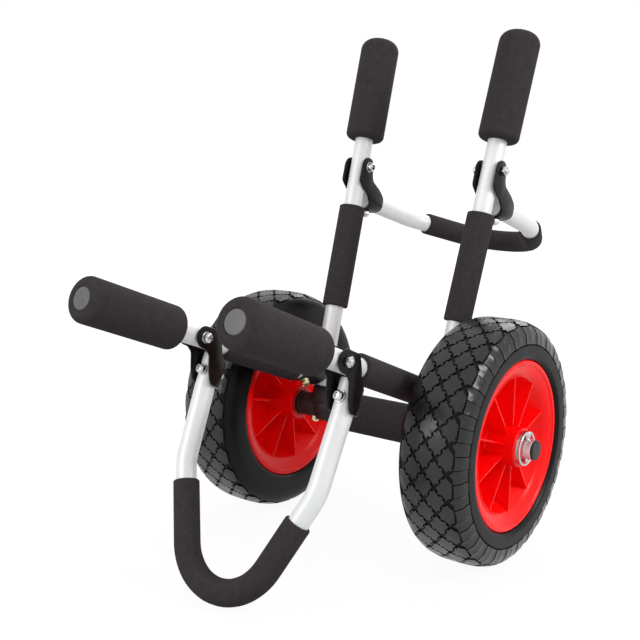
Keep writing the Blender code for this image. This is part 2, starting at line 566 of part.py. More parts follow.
    # Saddle that carries the elbow on the axle tube, held by a bolt from below
    base = axle_point + Vector((side * CORNER_X, 0.0, 0.0))
    block_place = frame_at(base, bolt_down, x_unit)
    block = fillet([(-SADDLE_HALF_WIDTH, -SADDLE_HALF_DEPTH, 0.004), (SADDLE_HALF_WIDTH, -SADDLE_HALF_DEPTH, 0.004),
                    (SADDLE_HALF_WIDTH, SADDLE_HALF_DEPTH, 0.004), (-SADDLE_HALF_WIDTH, SADDLE_HALF_DEPTH, 0.004)],
                   True, 30.0)
    saddle = prism(f"saddle_{side_name}", block, SADDLE_BOTTOM, SADDLE_TOP, block_place, BLACK_PLASTIC)
    inward = frame_at((0.0, AXLE_Y, AXLE_Z), (side, 0.0, 0.0), (0.0, 1.0, 0.0))
    collar = lathe(f"saddle_{side_name}_collar",
                   rod(SADDLE_COLLAR_RADIUS, AXLE_FOAM_HALF_LENGTH + GAP, SADDLE_COLLAR_END, 0.001), inward, None,
                   ROUND_STEPS, True)
    boolean(saddle, "UNION", collar)
    clear = lathe(f"saddle_{side_name}_axle_bore", rod(AXLE_TUBE_RADIUS + GAP, 0.05, 0.13), inward, None,
                  ROUND_STEPS, True)
    boolean(saddle, "DIFFERENCE", clear)
    clearance = ELBOW_RADIUS + GAP
    seat_outline = [(0.0, 0.06), (clearance, 0.06)] + arc((0.0, 0.0), clearance, 0.0, -90.0, 4)[:-1] + [(0.0, -clearance)]
    seat_tool = lathe(f"saddle_{side_name}_elbow_seat", seat_outline, along_upright, None, ROUND_STEPS, True)
    arm_tool = lathe(f"saddle_{side_name}_arm_seat", rod(ELBOW_ARM_RADIUS + GAP, 0.0, 0.06), along_arm, None,
                     ROUND_STEPS, True)
    boolean(boolean(saddle, "DIFFERENCE", seat_tool), "DIFFERENCE", arm_tool)
    bolt_end = corner_rise.length + 0.004
    head_seat = base - bolt_down * (AXLE_TUBE_RADIUS + 0.0005)
    bolt_place = frame_at(base, bolt_down, x_unit)
    low = -AXLE_TUBE_RADIUS - 0.0005
    outline = [(0.0, bolt_end), (BOLT_RADIUS, bolt_end), (BOLT_RADIUS, low), (WASHER_RADIUS, low),
               (WASHER_RADIUS, low - WASHER_HEIGHT), (HEAD_RADIUS, low - WASHER_HEIGHT),
               (HEAD_RADIUS, low - WASHER_HEIGHT - HEAD_HEIGHT + 0.001),
               (HEAD_RADIUS - 0.001, low - WASHER_HEIGHT - HEAD_HEIGHT), (0.0, low - WASHER_HEIGHT - HEAD_HEIGHT)]
    lathe(f"saddle_bolt_{side_name}", outline, bolt_place, ZINC, BOLT_STEPS)
    for target in (axle_tube, shaft, saddle, elbow):
        drill(target, BOLT_HOLE, base - bolt_down * 0.03, base + bolt_down * (bolt_end + 0.0005), f"bolt_{side_name}")
    weld(elbow)
    weld(saddle)

    # Pivot bolts through the arm and the upright
    half_grip = EAR_INNER + EAR_SHEET
    for label, pivot, tube in (("front", front_pivot, arm), ("rear", rear_pivot, upright)):
        seat = Vector((side * (PIVOT_X - half_grip), pivot.y, pivot.z))
        bolt(f"pivot_bolt_{label}_{side_name}", seat, (side, 0.0, 0.0), 2.0 * half_grip)
        drill(tube, BOLT_HOLE, (side * PIVOT_X - 0.02, pivot.y, pivot.z), (side * PIVOT_X + 0.02, pivot.y, pivot.z),
              "pivot")

weld(shaft)

# Stands: one U bar, its foam, two brackets and their leg bolts at each end
apex = BEND_S + BEND_X / math.tan(math.radians(V_ANGLE))
half_path = [(PIVOT_X, LEG_START, 0.0), (PIVOT_X, LEG_STRAIGHT_END, 0.060), (BEND_X, BEND_S, BEND_RADIUS)]
stand_path = half_path + [(0.0, apex, BOTTOM_RADIUS)] + [(-x, s, radius) for x, s, radius in reversed(half_path)]


def sweep(name, points, outer, inner, matrix, look, resolution=2):
    """Hollow bar along a path in the local XZ plane."""
    curve = bpy.data.curves.new(name, "CURVE")
    curve.dimensions = "3D"
    curve.bevel_depth = outer
    curve.bevel_resolution = resolution
    spline = curve.splines.new("POLY")
    spline.points.add(len(points) - 1)
    for point, (x, s) in zip(spline.points, points):
        point.co = (x, 0.0, s, 1.0)
    holder = bpy.data.objects.new(name + "_path", curve)
    bpy.context.scene.collection.objects.link(holder)
    mesh = bpy.data.meshes.new_from_object(holder.evaluated_get(bpy.context.evaluated_depsgraph_get()))
    bpy.data.objects.remove(holder, do_unlink=True)
    mesh.materials.clear()
    shape = bmesh.new()
    shape.from_mesh(mesh)
    bmesh.ops.remove_doubles(shape, verts=shape.verts, dist=1e-6)
    bmesh.ops.recalc_face_normals(shape, faces=shape.faces)
    shape.to_mesh(mesh)
    shape.free()
    obj = add(name, mesh, matrix, look)
    wall = obj.modifiers.new("wall", "SOLIDIFY")
    wall.thickness = outer - inner
    wall.offset = -1.0
    wall.use_even_offset = True
    wall.use_rim = True
    return obj


def bracket(name, matrix, place):
    """Pressed channel: two ears on the pivot and a round web behind the leg."""
    outer = EAR_INNER + EAR_SHEET
    back = WEB_DEPTH + EAR_SHEET
    shape = [(-outer, -0.03)] + [(outer * math.cos(math.radians(a)), STAND_OFFSET + back * math.sin(math.radians(a)))
                                 for a in range(180, -1, -30)] + [(outer, -0.03)]
    piece = prism(name, shape, -0.03, 0.07, place, BLACK_METAL)
    hollow = [(-EAR_INNER, -0.04)] + [(EAR_INNER * math.cos(math.radians(a)),
                                       STAND_OFFSET + WEB_DEPTH * math.sin(math.radians(a)))
                                      for a in range(180, -1, -30)] + [(EAR_INNER, -0.04)]
    boolean(piece, "DIFFERENCE", prism(name + "_hollow", hollow, -0.04, 0.08, place, None, True))
    side_place = place @ Matrix(((0.0, 0.0, 1.0, 0.0), (1.0, 0.0, 0.0, 0.0), (0.0, 1.0, 0.0, 0.0), (0.0, 0.0, 0.0, 1.0)))
    boolean(piece, "INTERSECT", prism(name + "_side", fillet(EAR_OUTLINE, True, 24.0), -0.03, 0.03, side_place, None, True))
    pivot = place.translation
    drill(piece, BOLT_HOLE, pivot - 0.03 * x_unit, pivot + 0.03 * x_unit, "pivot")
    seat = place @ Vector((0.0, 0.0, STAND_BOLT_Q))
    drill(piece, BOLT_HOLE, seat, place @ Vector((0.0, 0.07, STAND_BOLT_Q)), "bolt")
    return piece


def stand(label, pivot, inward, outward):
    """One complete stand about the pivot line."""
    origin = Vector((0.0, pivot.y, pivot.z))
    # Local X is across, local Y is towards the corner and local Z is along the legs
    face = Matrix((inward.cross(outward), inward, outward)).transposed().to_4x4()
    face.translation = origin
    shifted = face @ Matrix.Translation((0.0, STAND_OFFSET, 0.0))
    path = [(point.x, point.y) for point in fillet(stand_path, False, 14.0)]
    bar = sweep(f"{label}_stand", path, TUBE_RADIUS, TUBE_RADIUS - STAND_WALL, shifted, ANODISED)
    slope = math.tan(math.radians(V_ANGLE))
    left_start, right_start = STAND_FOAM_STARTS[label]
    # Local X points to the left on the front stand and to the right on the rear one
    near, far = (right_start, left_start) if face.col[0].x > 0.0 else (left_start, right_start)
    foam_path = [(BEND_X - (near - BEND_S) * slope, near)]
    foam_path += [(x, s) for x, s in path if s > (near if x > 0.0 else far)]
    foam_path += [((far - BEND_S) * slope - BEND_X, far)]
    sweep(f"{label}_stand_foam", foam_path, STAND_FOAM_RADIUS, STAND_FOAM_BORE, shifted, FOAM)
    for side_name, side in SIDES:
        place = Matrix.Translation((side * PIVOT_X, 0.0, 0.0)) @ face
        bracket(f"bracket_{label}_{side_name}", face, place)
        seat = place @ Vector((0.0, STAND_OFFSET - TUBE_RADIUS, STAND_BOLT_Q))
        grip = TUBE_RADIUS + WEB_DEPTH + EAR_SHEET
        bolt(f"stand_bolt_{label}_{side_name}", seat, inward, grip)
        drill(bar, BOLT_HOLE, seat - inward * 0.01, seat + inward * 0.04, f"bolt_{side_name}")
        way = arm_direction(side) if label == "front" else upright_direction(side)
        centre = Vector((side * PIVOT_X, pivot.y, pivot.z))
        drill(bar, TUBE_RADIUS + 2.0 * GAP, centre - way * 0.08, centre + way * 0.03, f"cope_{side_name}", ROUND_STEPS)
        if label == "front":
            sleeve_end = centre - way * (ARM_PIVOT - ARM_SLEEVE[1] - GAP)
            drill(bar, SLEEVE_RADIUS + 2.0 * GAP, centre - way * 0.08, sleeve_end, f"sleeve_{side_name}", ROUND_STEPS)


stand("front", front_pivot, front_in, front_out)
stand("rear", rear_pivot, rear_in, rear_out)
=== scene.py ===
"""Looks of the paddleboard cart: tyres, rims, tubes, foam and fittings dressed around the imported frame."""
import math

import bmesh
import bpy
from mathutils import Matrix, Vector


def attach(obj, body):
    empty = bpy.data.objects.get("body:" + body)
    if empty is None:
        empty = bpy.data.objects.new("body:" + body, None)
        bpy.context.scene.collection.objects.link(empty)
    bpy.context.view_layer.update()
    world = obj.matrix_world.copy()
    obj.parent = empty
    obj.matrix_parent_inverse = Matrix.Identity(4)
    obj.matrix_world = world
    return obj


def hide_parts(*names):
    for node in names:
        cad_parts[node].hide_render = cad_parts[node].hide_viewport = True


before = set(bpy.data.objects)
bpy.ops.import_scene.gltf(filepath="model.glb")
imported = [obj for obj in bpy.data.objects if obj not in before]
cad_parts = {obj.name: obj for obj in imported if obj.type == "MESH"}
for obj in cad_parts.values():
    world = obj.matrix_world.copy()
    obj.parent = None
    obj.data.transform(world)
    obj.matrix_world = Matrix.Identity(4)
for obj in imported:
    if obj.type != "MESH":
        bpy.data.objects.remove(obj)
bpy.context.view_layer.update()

X = Vector((1.0, 0.0, 0.0))
Y = Vector((0.0, 1.0, 0.0))
SIDES = (("left", -1.0), ("right", 1.0))

# Sizes shared with the CAD source, in metres
AXLE = Vector((0.0, 0.01357, 0.150))
WHEEL_X = 0.1683
TYRE_RADIUS = 0.150
TYRE_HALF_WIDTH = 0.0425
TYRE_ROUND_FROM = 0.112
TYRE_ROUNDNESS = 3.5
BEAD_RADIUS = 0.1045
BEAD_PLANE = 0.0389
FIN_COUNT = 10
FIN_ANGLE_RIGHT = 17.8
FIN_ANGLE_LEFT = 24.3
PIN_X = 0.219
CORNER = AXLE + Vector((0.0, 0.0112, 0.03705))
CORNER_X = 0.0925
PIVOT_X = 0.1015
UPRIGHT_LEAN = math.radians(18.17)
ARM_RISE = math.radians(21.26)
UPRIGHT_PIVOT = 0.2963
ARM_PIVOT = 0.2540
UPRIGHT_SPLAY = math.asin((PIVOT_X - CORNER_X) / UPRIGHT_PIVOT)
ARM_SPLAY = math.asin((PIVOT_X - CORNER_X) / ARM_PIVOT)
TUBE_RADIUS = 0.0122
TUBE_BORE = 0.0107
UPRIGHT_END = 0.4662
ARM_END = 0.4234
EAR_OUTER = 0.0158
EAR_SHEET = 0.0023
STAND_OFFSET = 0.040
FRONT_STAND_ANGLE = math.radians(24.83)
REAR_STAND_ANGLE = math.radians(73.70)


# Mesh helpers

def place(origin, z_axis, x_axis=X):
    """Matrix at origin with local Z along z_axis and local X as near x_axis as it can be."""
    z = Vector(z_axis).normalized()
    if abs(z.dot(x_axis.normalized())) > 0.95:
        x_axis = Y
    y = z.cross(x_axis).normalized()
    matrix = Matrix((y.cross(z), y, z)).transposed().to_4x4()
    matrix.translation = Vector(origin)
    return matrix


def on_axle(side=1.0, distance=0.0):
    """Matrix on the axle's line, at a distance out from its middle, with local Z outward."""
    return place(AXLE + X * side * distance, X * side, Y)


def piece(name, shape, body, look, nodes=(), sharp=32.0, weld=True):
    """Turn a bmesh into a finished piece that rides on a body and stands for CAD nodes."""
    if weld:
        bmesh.ops.remove_doubles(shape, verts=shape.verts, dist=1e-6)
    bmesh.ops.recalc_face_normals(shape, faces=shape.faces)
    for face in shape.faces:
        face.smooth = True
    for edge in shape.edges:
        if edge.is_manifold and edge.calc_face_angle(0.0) > math.radians(sharp):
            edge.smooth = False
    mesh = bpy.data.meshes.new(name)
    shape.to_mesh(mesh)
    shape.free()
    made = bpy.data.objects.new(name, mesh)
    bpy.context.scene.collection.objects.link(made)
    mesh.materials.append(look)
    if nodes:
        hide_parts(*nodes)
    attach(made, body)
    return made


def turn(shape, outline, matrix, steps=64):
    """Spin an outline of (radius, height) about the matrix's Z axis, closed unless it meets the axis."""
    corners = [shape.verts.new((radius, 0.0, height)) for radius, height in outline]
    edges = [shape.edges.new(pair) for pair in zip(corners, corners[1:])]
    if outline[0][0] > 1e-6:
        edges.append(shape.edges.new((corners[-1], corners[0])))
    before = set(shape.verts) - set(corners)
    bmesh.ops.spin(shape, geom=corners + edges, axis=(0, 0, 1), cent=(0, 0, 0), angle=math.tau, steps=steps,
                   use_merge=True)
    made = [v for v in shape.verts if v not in before]
    bmesh.ops.remove_doubles(shape, verts=made, dist=1e-7)
    made = [v for v in shape.verts if v not in before]
    bmesh.ops.transform(shape, matrix=matrix, verts=made)
    return shape


def rounded(corners, step=15.0):
    """Round an open path of (x, y, radius) corners, one point about every step degrees."""
    points = []
    for i, (x, y, radius) in enumerate(corners):
        here = Vector((x, y))
        if radius == 0.0 or i in (0, len(corners) - 1):
            points.append(here)
            continue
        back = (Vector(corners[i - 1][:2]) - here).normalized()
        ahead = (Vector(corners[i + 1][:2]) - here).normalized()
        half = back.angle(ahead) / 2.0
        centre = here + (back + ahead).normalized() * radius / math.sin(half)
        first = here + back * radius / math.tan(half) - centre
        swing = first.angle_signed(here + ahead * radius / math.tan(half) - centre)
        steps = max(1, round(abs(math.degrees(swing)) / step))
        points += [centre + Matrix.Rotation(-swing * k / steps, 2) @ first for k in range(steps + 1)]
    return [(p.x, p.y) for p in points]


def flipped(outline):
    """The same outline mirrored in height and run backwards."""
    return [(radius, -height) for radius, height in reversed(outline)]


def ring_outline(inner, outer, low, high, edge=0.0006):
    """Outline of a ring whose two outer edges are rounded."""
    return rounded([(inner, high, 0.0), (outer, high, edge), (outer, low, edge), (inner, low, 0.0)], 30.0)


def lump(name, outline, matrix, body, look, nodes=(), steps=64):
    """One turned piece."""
    return piece(name, turn(bmesh.new(), outline, matrix, steps), body, look, nodes)


def prism(shape, outline, low, high, matrix, edge=0.0):
    """Extrude a flat outline along the matrix's Z axis, with rounded edges, into shape."""
    before = set(shape.verts)
    face = shape.faces.new([shape.verts.new((x, y, low)) for x, y in outline])
    top = bmesh.ops.extrude_face_region(shape, geom=[face])["geom"]
    moved = [v for v in top if isinstance(v, bmesh.types.BMVert)]
    bmesh.ops.translate(shape, verts=moved, vec=(0.0, 0.0, high - low))
    made = [v for v in shape.verts if v not in before]
    bmesh.ops.recalc_face_normals(shape, faces=list({f for v in made for f in v.link_faces}))
    if edge > 0.0:
        around = {e for v in made for e in v.link_edges}
        rims = [e for e in around if e.calc_face_angle(0.0) > math.radians(40.0)]
        bmesh.ops.bevel(shape, geom=rims, offset=edge, offset_type="OFFSET", segments=2, profile=0.5,
                        affect="EDGES", clamp_overlap=True, material=-1)
    made = [v for v in shape.verts if v not in before]
    bmesh.ops.transform(shape, matrix=matrix, verts=made)
    return shape


def hexagon(radius):
    """Corners of a hexagon."""
    angles = [math.radians(a) for a in range(0, 360, 60)]
    return [(radius * math.cos(a), radius * math.sin(a)) for a in angles]


def build_bar(name, points, radius, matrix, body, look, node, ends=0.0):
    """Round bar along a path in the matrix's XZ plane; ends rounds off the two ends by that length."""
    path = [Vector((x, 0.0, s)) for x, s in points]
    widths = [1.0] * len(path)
    if ends > 0.0:
        shares = (0.0, 0.12, 0.4, 1.0)
        round_end = [1.0 - ends / radius * (1.0 - math.sqrt(1.0 - (1.0 - d) ** 2)) for d in shares]
        for _ in range(2):
            start, way = path[0], (path[1] - path[0]).normalized()
            path = [start + way * ends * d for d in shares] + path[1:]
            widths = round_end + widths[1:]
            path.reverse()
            widths.reverse()
    curve = bpy.data.curves.new(name, "CURVE")
    curve.dimensions = "3D"
    curve.bevel_depth = radius
    curve.bevel_resolution = 10
    curve.use_fill_caps = True
    spline = curve.splines.new("POLY")
    spline.points.add(len(path) - 1)
    for point, spot, width in zip(spline.points, path, widths):
        point.co = (*spot, 1.0)
        point.radius = width
    holder = bpy.data.objects.new(name + "_path", curve)
    bpy.context.scene.collection.objects.link(holder)
    mesh = bpy.data.meshes.new_from_object(holder.evaluated_get(bpy.context.evaluated_depsgraph_get()))
    bpy.data.objects.remove(holder, do_unlink=True)
    shape = bmesh.new()
    shape.from_mesh(mesh)
    bmesh.ops.transform(shape, matrix=matrix, verts=shape.verts)
    return piece(name, shape, body, look, (node,), 40.0)


# Materials

def linear(hex_colour):
    """An sRGB hex colour as linear RGBA."""
    parts = [int(hex_colour[i:i + 2], 16) / 255.0 for i in (1, 3, 5)]
    return tuple(c / 12.92 if c <= 0.04045 else ((c + 0.055) / 1.055) ** 2.4 for c in parts) + (1.0,)


def add_node(tree, kind, fixed=None, linked=None, **settings):
    """Add a node with its settings, fixed inputs and links."""
    made = tree.nodes.new(kind)
    for key, value in settings.items():
        setattr(made, key, value)
    for key, value in (fixed or {}).items():
        made.inputs[key].default_value = value
    for key, output in (linked or {}).items():
        tree.links.new(output, made.inputs[key])
    return made


def surface(name, tones, patch, grain, depth, rough, metallic=0.0, ior=None, specular=None):
    """A Principled material whose colour drifts between two tones in patches, with a fine grain bump.

    patch and grain are real sizes in metres, depth is the grain's height, rough the two roughness limits.
    """
    made = bpy.data.materials.new(name)
    made.use_nodes = True
    tree = made.node_tree
    shader = tree.nodes["Principled BSDF"]
    spot = add_node(tree, "ShaderNodeTexCoord").outputs["Object"]
    drift = add_node(tree, "ShaderNodeTexNoise", {"Scale": 1.0 / patch, "Detail": 3.0}, {"Vector": spot})
    fine = add_node(tree, "ShaderNodeTexNoise", {"Scale": 1.0 / grain, "Detail": 2.0}, {"Vector": spot})
    both = add_node(tree, "ShaderNodeMix", {0: 0.35}, {2: drift.outputs["Fac"], 3: fine.outputs["Fac"]})
    tone = add_node(tree, "ShaderNodeValToRGB", None, {"Fac": both.outputs[0]})
    for stop, position, colour in zip(tone.color_ramp.elements, (0.35, 0.65), tones):
        stop.position = position
        stop.color = linear(colour)
    sheen = add_node(tree, "ShaderNodeMapRange",
                     {"From Min": 0.3, "From Max": 0.7, "To Min": rough[0], "To Max": rough[1]},
                     {"Value": drift.outputs["Fac"]})
    bump = add_node(tree, "ShaderNodeBump", {"Strength": 1.0, "Distance": depth},
                    {"Height": fine.outputs["Fac"]})
    tree.links.new(tone.outputs["Color"], shader.inputs["Base Color"])
    tree.links.new(sheen.outputs["Result"], shader.inputs["Roughness"])
    tree.links.new(bump.outputs["Normal"], shader.inputs["Normal"])
    shader.inputs["Metallic"].default_value = metallic
    if ior:
        shader.inputs["IOR"].default_value = ior
    if specular:
        shader.inputs["Specular IOR Level"].default_value = specular
    return made


# Moulded tyre rubber on the tread blocks: black, satin, with the fine grain of the mould
tread_rubber = surface("tread_rubber", ("#0b0a0a", "#171515"), 0.020, 0.0012, 0.00001, (0.26, 0.36),
                       ior=1.52, specular=0.50)
# Tyre sidewall and the floors of the grooves: the same rubber, duller, and a little darker as painted shade
# in the grooves and on the sidewall
sidewall_rubber = surface("sidewall_rubber", ("#090808", "#100f0f"), 0.030, 0.0010, 0.000008, (0.34, 0.44),
                          ior=1.52, specular=0.14)
# Shoulder blocks come off a polished part of the mould, so they shine
polished_rubber = surface("polished_rubber", ("#0a0a0a", "#121213"), 0.020, 0.0014, 0.000004, (0.20, 0.28),
                          ior=1.52, specular=0.44)
# Injection-moulded polypropylene in bright red: smooth, glossy, faint flow marks
red_polypropylene = surface("red_polypropylene", ("#fb0406", "#ff0b0b"), 0.040, 0.0030, 0.00002, (0.24, 0.34),
                            ior=1.49, specular=0.20)
# Clear-anodised aluminium tube, bead blasted first: pale, satin, very fine grain
anodised_aluminium = surface("anodised_aluminium", ("#e3e4e5", "#eaebec"), 0.030, 0.0006, 0.000004,
                             (0.44, 0.52), metallic=0.25)
# Closed-cell foam: charcoal, dead matt, with cells about a millimetre across
cell_foam = surface("cell_foam", ("#332f31", "#3d383b"), 0.0060, 0.0011, 0.00012, (0.88, 0.96),
                    ior=1.45, specular=0.15)
# Powder-coated steel: satin black with a slight orange peel
powder_coat = surface("powder_coat", ("#0d0b09", "#171411"), 0.015, 0.0016, 0.00001, (0.26, 0.34),
                      ior=1.5, specular=0.18)
# The axle tube's coat: duller, and lighter and greyer than the powder coat as painted light on a tube that
# sits in shade
axle_coat_painted_light = surface("axle_coat_painted_light", ("#272423", "#322e2d"), 0.012, 0.0014, 0.00004, (0.50, 0.62),
                      ior=1.5, specular=0.30)
# Glass-filled nylon mouldings: black, slightly sandy
black_nylon = surface("black_nylon", ("#131213", "#1e1d1e"), 0.012, 0.0009, 0.00006, (0.40, 0.52),
                      ior=1.53, specular=0.35)
# Bright zinc-plated steel: cool, shiny, faint plating mottle
zinc_plate = surface("zinc_plate", ("#b9babd", "#d6d7d9"), 0.006, 0.0007, 0.00001, (0.20, 0.32),
                     metallic=1.0)
# Yellow-passivated zinc on the fixings of elbows and saddles: pale straw, shiny
yellow_zinc = surface("yellow_zinc", ("#c8ba90", "#ddd2ac"), 0.006, 0.0007, 0.00001, (0.24, 0.34),
                      metallic=1.0)
# Nickel-plated shaft: warmer and brighter than the bolts
plated_axle = surface("plated_axle", ("#d9d4d4", "#ece8e8"), 0.020, 0.0008, 0.00001, (0.24, 0.34),
                      metallic=0.9)
# Grey polyethylene end plugs: soft satin, fine mould texture
grey_polyethylene = surface("grey_polyethylene", ("#4f4f50", "#5c5c5d"), 0.008, 0.0006, 0.00005, (0.40, 0.50),
                            ior=1.5)
# Natural nylon bushes: milky, smooth
natural_nylon = surface("natural_nylon", ("#aaa8a1", "#bdbbb4"), 0.010, 0.0008, 0.00002, (0.35, 0.45),
                        ior=1.53)


# Wheels

SECTION_STEPS = 48
CARCASS_STEPS = 64
GROOVE_DEPTH = 0.0020
BLOCK_ROOT = 0.0004
BLOCK_TAPER = 0.965
TREAD_UNITS = 28
UNIT_LENGTH = math.tau * TYRE_RADIUS / TREAD_UNITS
COLUMN_WIDTH = 0.028
TREAD_PHASE = 0.0162
CROWN_REACH = 0.0346
SHOULDER_START = CROWN_REACH + 0.0011
SHOULDER_REACH = 0.0580
SHOULDER_SAG = 0.0006
SLIT_SHIFT = -0.0046
SLIT_HALF_WIDTH = 0.0003
# Along one side of a diamond block: share of the way between two tips, and step outwards in metres. A tab
# on one block faces a notch on the next, and the crossings open into an X
STEPS = ((0.10, -0.0014), (0.27, -0.0014), (0.31, 0.0010), (0.42, 0.0010), (0.46, -0.0013), (0.58, -0.0018),
         (0.69, -0.0018), (0.90, -0.0014))
FIN_HALF_THICKNESS = 0.0012
HUB_OUTER_END = 0.0450
# Further inboard than in the CAD source, as the photo shows at high zoom
HUB_INNER_END = 0.0490


def tyre_section():
    """Points (radius, plane) along the tyre's outside from the crown's middle to the bead, with distances."""
    points = []
    for i in range(SECTION_STEPS + 1):
        angle = math.pi / 2.0 * (1.0 - i / SECTION_STEPS)
        across, up = math.cos(angle), math.sin(angle)
        size = (across ** TYRE_ROUNDNESS + up ** TYRE_ROUNDNESS) ** (-1.0 / TYRE_ROUNDNESS)
        points.append(Vector((TYRE_ROUND_FROM + (TYRE_RADIUS - TYRE_ROUND_FROM) * up * size,
                              TYRE_HALF_WIDTH * across * size)))
    points += [Vector((0.1080, TYRE_HALF_WIDTH - 0.0003)), Vector((BEAD_RADIUS + 0.0004, BEAD_PLANE))]
    reach = [0.0]
    for a, b in zip(points, points[1:]):
        reach.append(reach[-1] + (b - a).length)
    return points, reach


SECTION, REACH = tyre_section()


def on_section(distance, lift=0.0):
    """(radius, plane) at a distance from the crown's middle along the section, lifted off the surface."""
    side = -1.0 if distance < 0.0 else 1.0
    distance = min(abs(distance), REACH[-1] - 1e-6)
    k = next(i for i in range(len(REACH) - 1) if REACH[i + 1] >= distance)
    a, b = SECTION[k], SECTION[k + 1]
    spot = a.lerp(b, (distance - REACH[k]) / (REACH[k + 1] - REACH[k]))
    along = (b - a).normalized()
    spot = spot + Vector((along.y, -along.x)) * lift
    return spot.x, side * spot.y


def on_tyre(u, w, lift):
    """Point at a distance round the tyre and a distance across it, lifted off the surface."""
    radius, plane = on_section(w, lift)
    angle = u / TYRE_RADIUS
    return radius * math.cos(angle), radius * math.sin(angle), plane


def tread_block(shape, outline, lower=0.0):
    """Raise one tapered tread block from its outline of (distance round the tyre, distance across it)."""
    middle = sum((Vector(p) for p in outline), Vector((0.0, 0.0))) / len(outline)
    foot = [shape.verts.new(on_tyre(*p, -GROOVE_DEPTH - BLOCK_ROOT)) for p in outline]
    edge = [shape.verts.new(on_tyre(*middle.lerp(Vector(p), BLOCK_TAPER), -lower)) for p in outline]
    top = shape.verts.new(on_tyre(*middle, -lower))
    for i in range(len(outline)):
        j = (i + 1) % len(outline)
        shape.faces.new((foot[i], foot[j], edge[j], edge[i]))
        shape.faces.new((edge[i], edge[j], top))


def diamond(u, w):
    """Outline of one crown block: a diamond with stepped sides, cut off where the shoulder begins."""
    tips = [Vector((UNIT_LENGTH / 2.0, 0.0)), Vector((0.0, COLUMN_WIDTH / 2.0)),
            Vector((-UNIT_LENGTH / 2.0, 0.0)), Vector((0.0, -COLUMN_WIDTH / 2.0))]
    points = []
    for k in range(4):
        start, end = tips[k], tips[(k + 1) % 4]
        outward = Vector((end.y - start.y, start.x - end.x)).normalized()
        for share, step in STEPS:
            spot = start.lerp(end, share) + outward * step
            points.append((u + spot.x, max(-CROWN_REACH, min(CROWN_REACH, w + spot.y))))
    return points


def shoulder_block(u, tip, pointed):
    """Outline of one outboard shoulder block between two slits; a pointed one reaches between diamonds."""
    low, high = u + SLIT_HALF_WIDTH, u + UNIT_LENGTH / 2.0 - SLIT_HALF_WIDTH
    width = SHOULDER_REACH - SHOULDER_START
    points = [(low, SHOULDER_START + width * k / 5.0) for k in range(6)]
    points += [(high, SHOULDER_REACH - width * k / 5.0) for k in range(6)]
    if pointed:
        return points + [(tip + 0.0050, SHOULDER_START - 0.0004), (tip, SHOULDER_START - 0.0048),
                         (tip - 0.0035, SHOULDER_START - 0.0004)]
    return points + [((low + high) / 2.0, SHOULDER_START + 0.0008)]


def build_tyre(side_name, wheel):
    """Carcass with a sunken crown, interlocking crown blocks and slit outboard shoulder blocks."""
    carcass = bmesh.new()
    section = []
    for k in range(-CARCASS_STEPS, CARCASS_STEPS + 1):
        distance = REACH[-1] * k / CARCASS_STEPS
        sunk = -SHOULDER_START < distance < SHOULDER_REACH + 0.0006
        section.append(on_section(distance, -GROOVE_DEPTH if sunk else 0.0))
    bead = [(BEAD_RADIUS + 0.0003, 0.0361), (0.0933, 0.0361), (0.0933, 0.0294)]
    inner = [(0.1025, 0.0294), (0.1060, 0.0350), (0.120, 0.0360), (0.136, 0.0320), (0.144, 0.0120)]
    turn(carcass, flipped(bead) + section + bead + inner + flipped(inner), Matrix.Identity(4), 112)
    crown, shoulder = bmesh.new(), bmesh.new()
    for unit in range(TREAD_UNITS):
        for column in range(-2, 3):
            u = (unit + 0.5 * (column % 2)) * UNIT_LENGTH + TREAD_PHASE
            tread_block(crown, diamond(u, column * COLUMN_WIDTH / 2.0))
        for half in (0, 1):
            u = (unit + 0.5 * half) * UNIT_LENGTH + TREAD_PHASE + SLIT_SHIFT
            tip = (unit + 0.5) * UNIT_LENGTH + TREAD_PHASE
            tread_block(shoulder, shoulder_block(u, tip, half == 1), SHOULDER_SAG * half)
    for part in (carcass, crown, shoulder):
        bmesh.ops.transform(part, matrix=wheel, verts=part.verts)
    body = f"wheel_{side_name}"
    piece(f"tyre_carcass_{side_name}", carcass, body, sidewall_rubber,
          (f"tyre_{side_name}",), 40.0)
    piece(f"tyre_tread_{side_name}", crown, body, tread_rubber, (), 30.0, False)
    piece(f"tyre_shoulder_{side_name}", shoulder, body, polished_rubber, (), 30.0, False)


def hub_outline(end):
    """Outline of half the hub: out from the dish to its end face, and back along the bore."""
    return rounded([(0.0238, 0.0092, 0.0), (0.0235, end, 0.0012), (0.0164, end, 0.0005),
                    (0.0163, 0.0100, 0.0)])


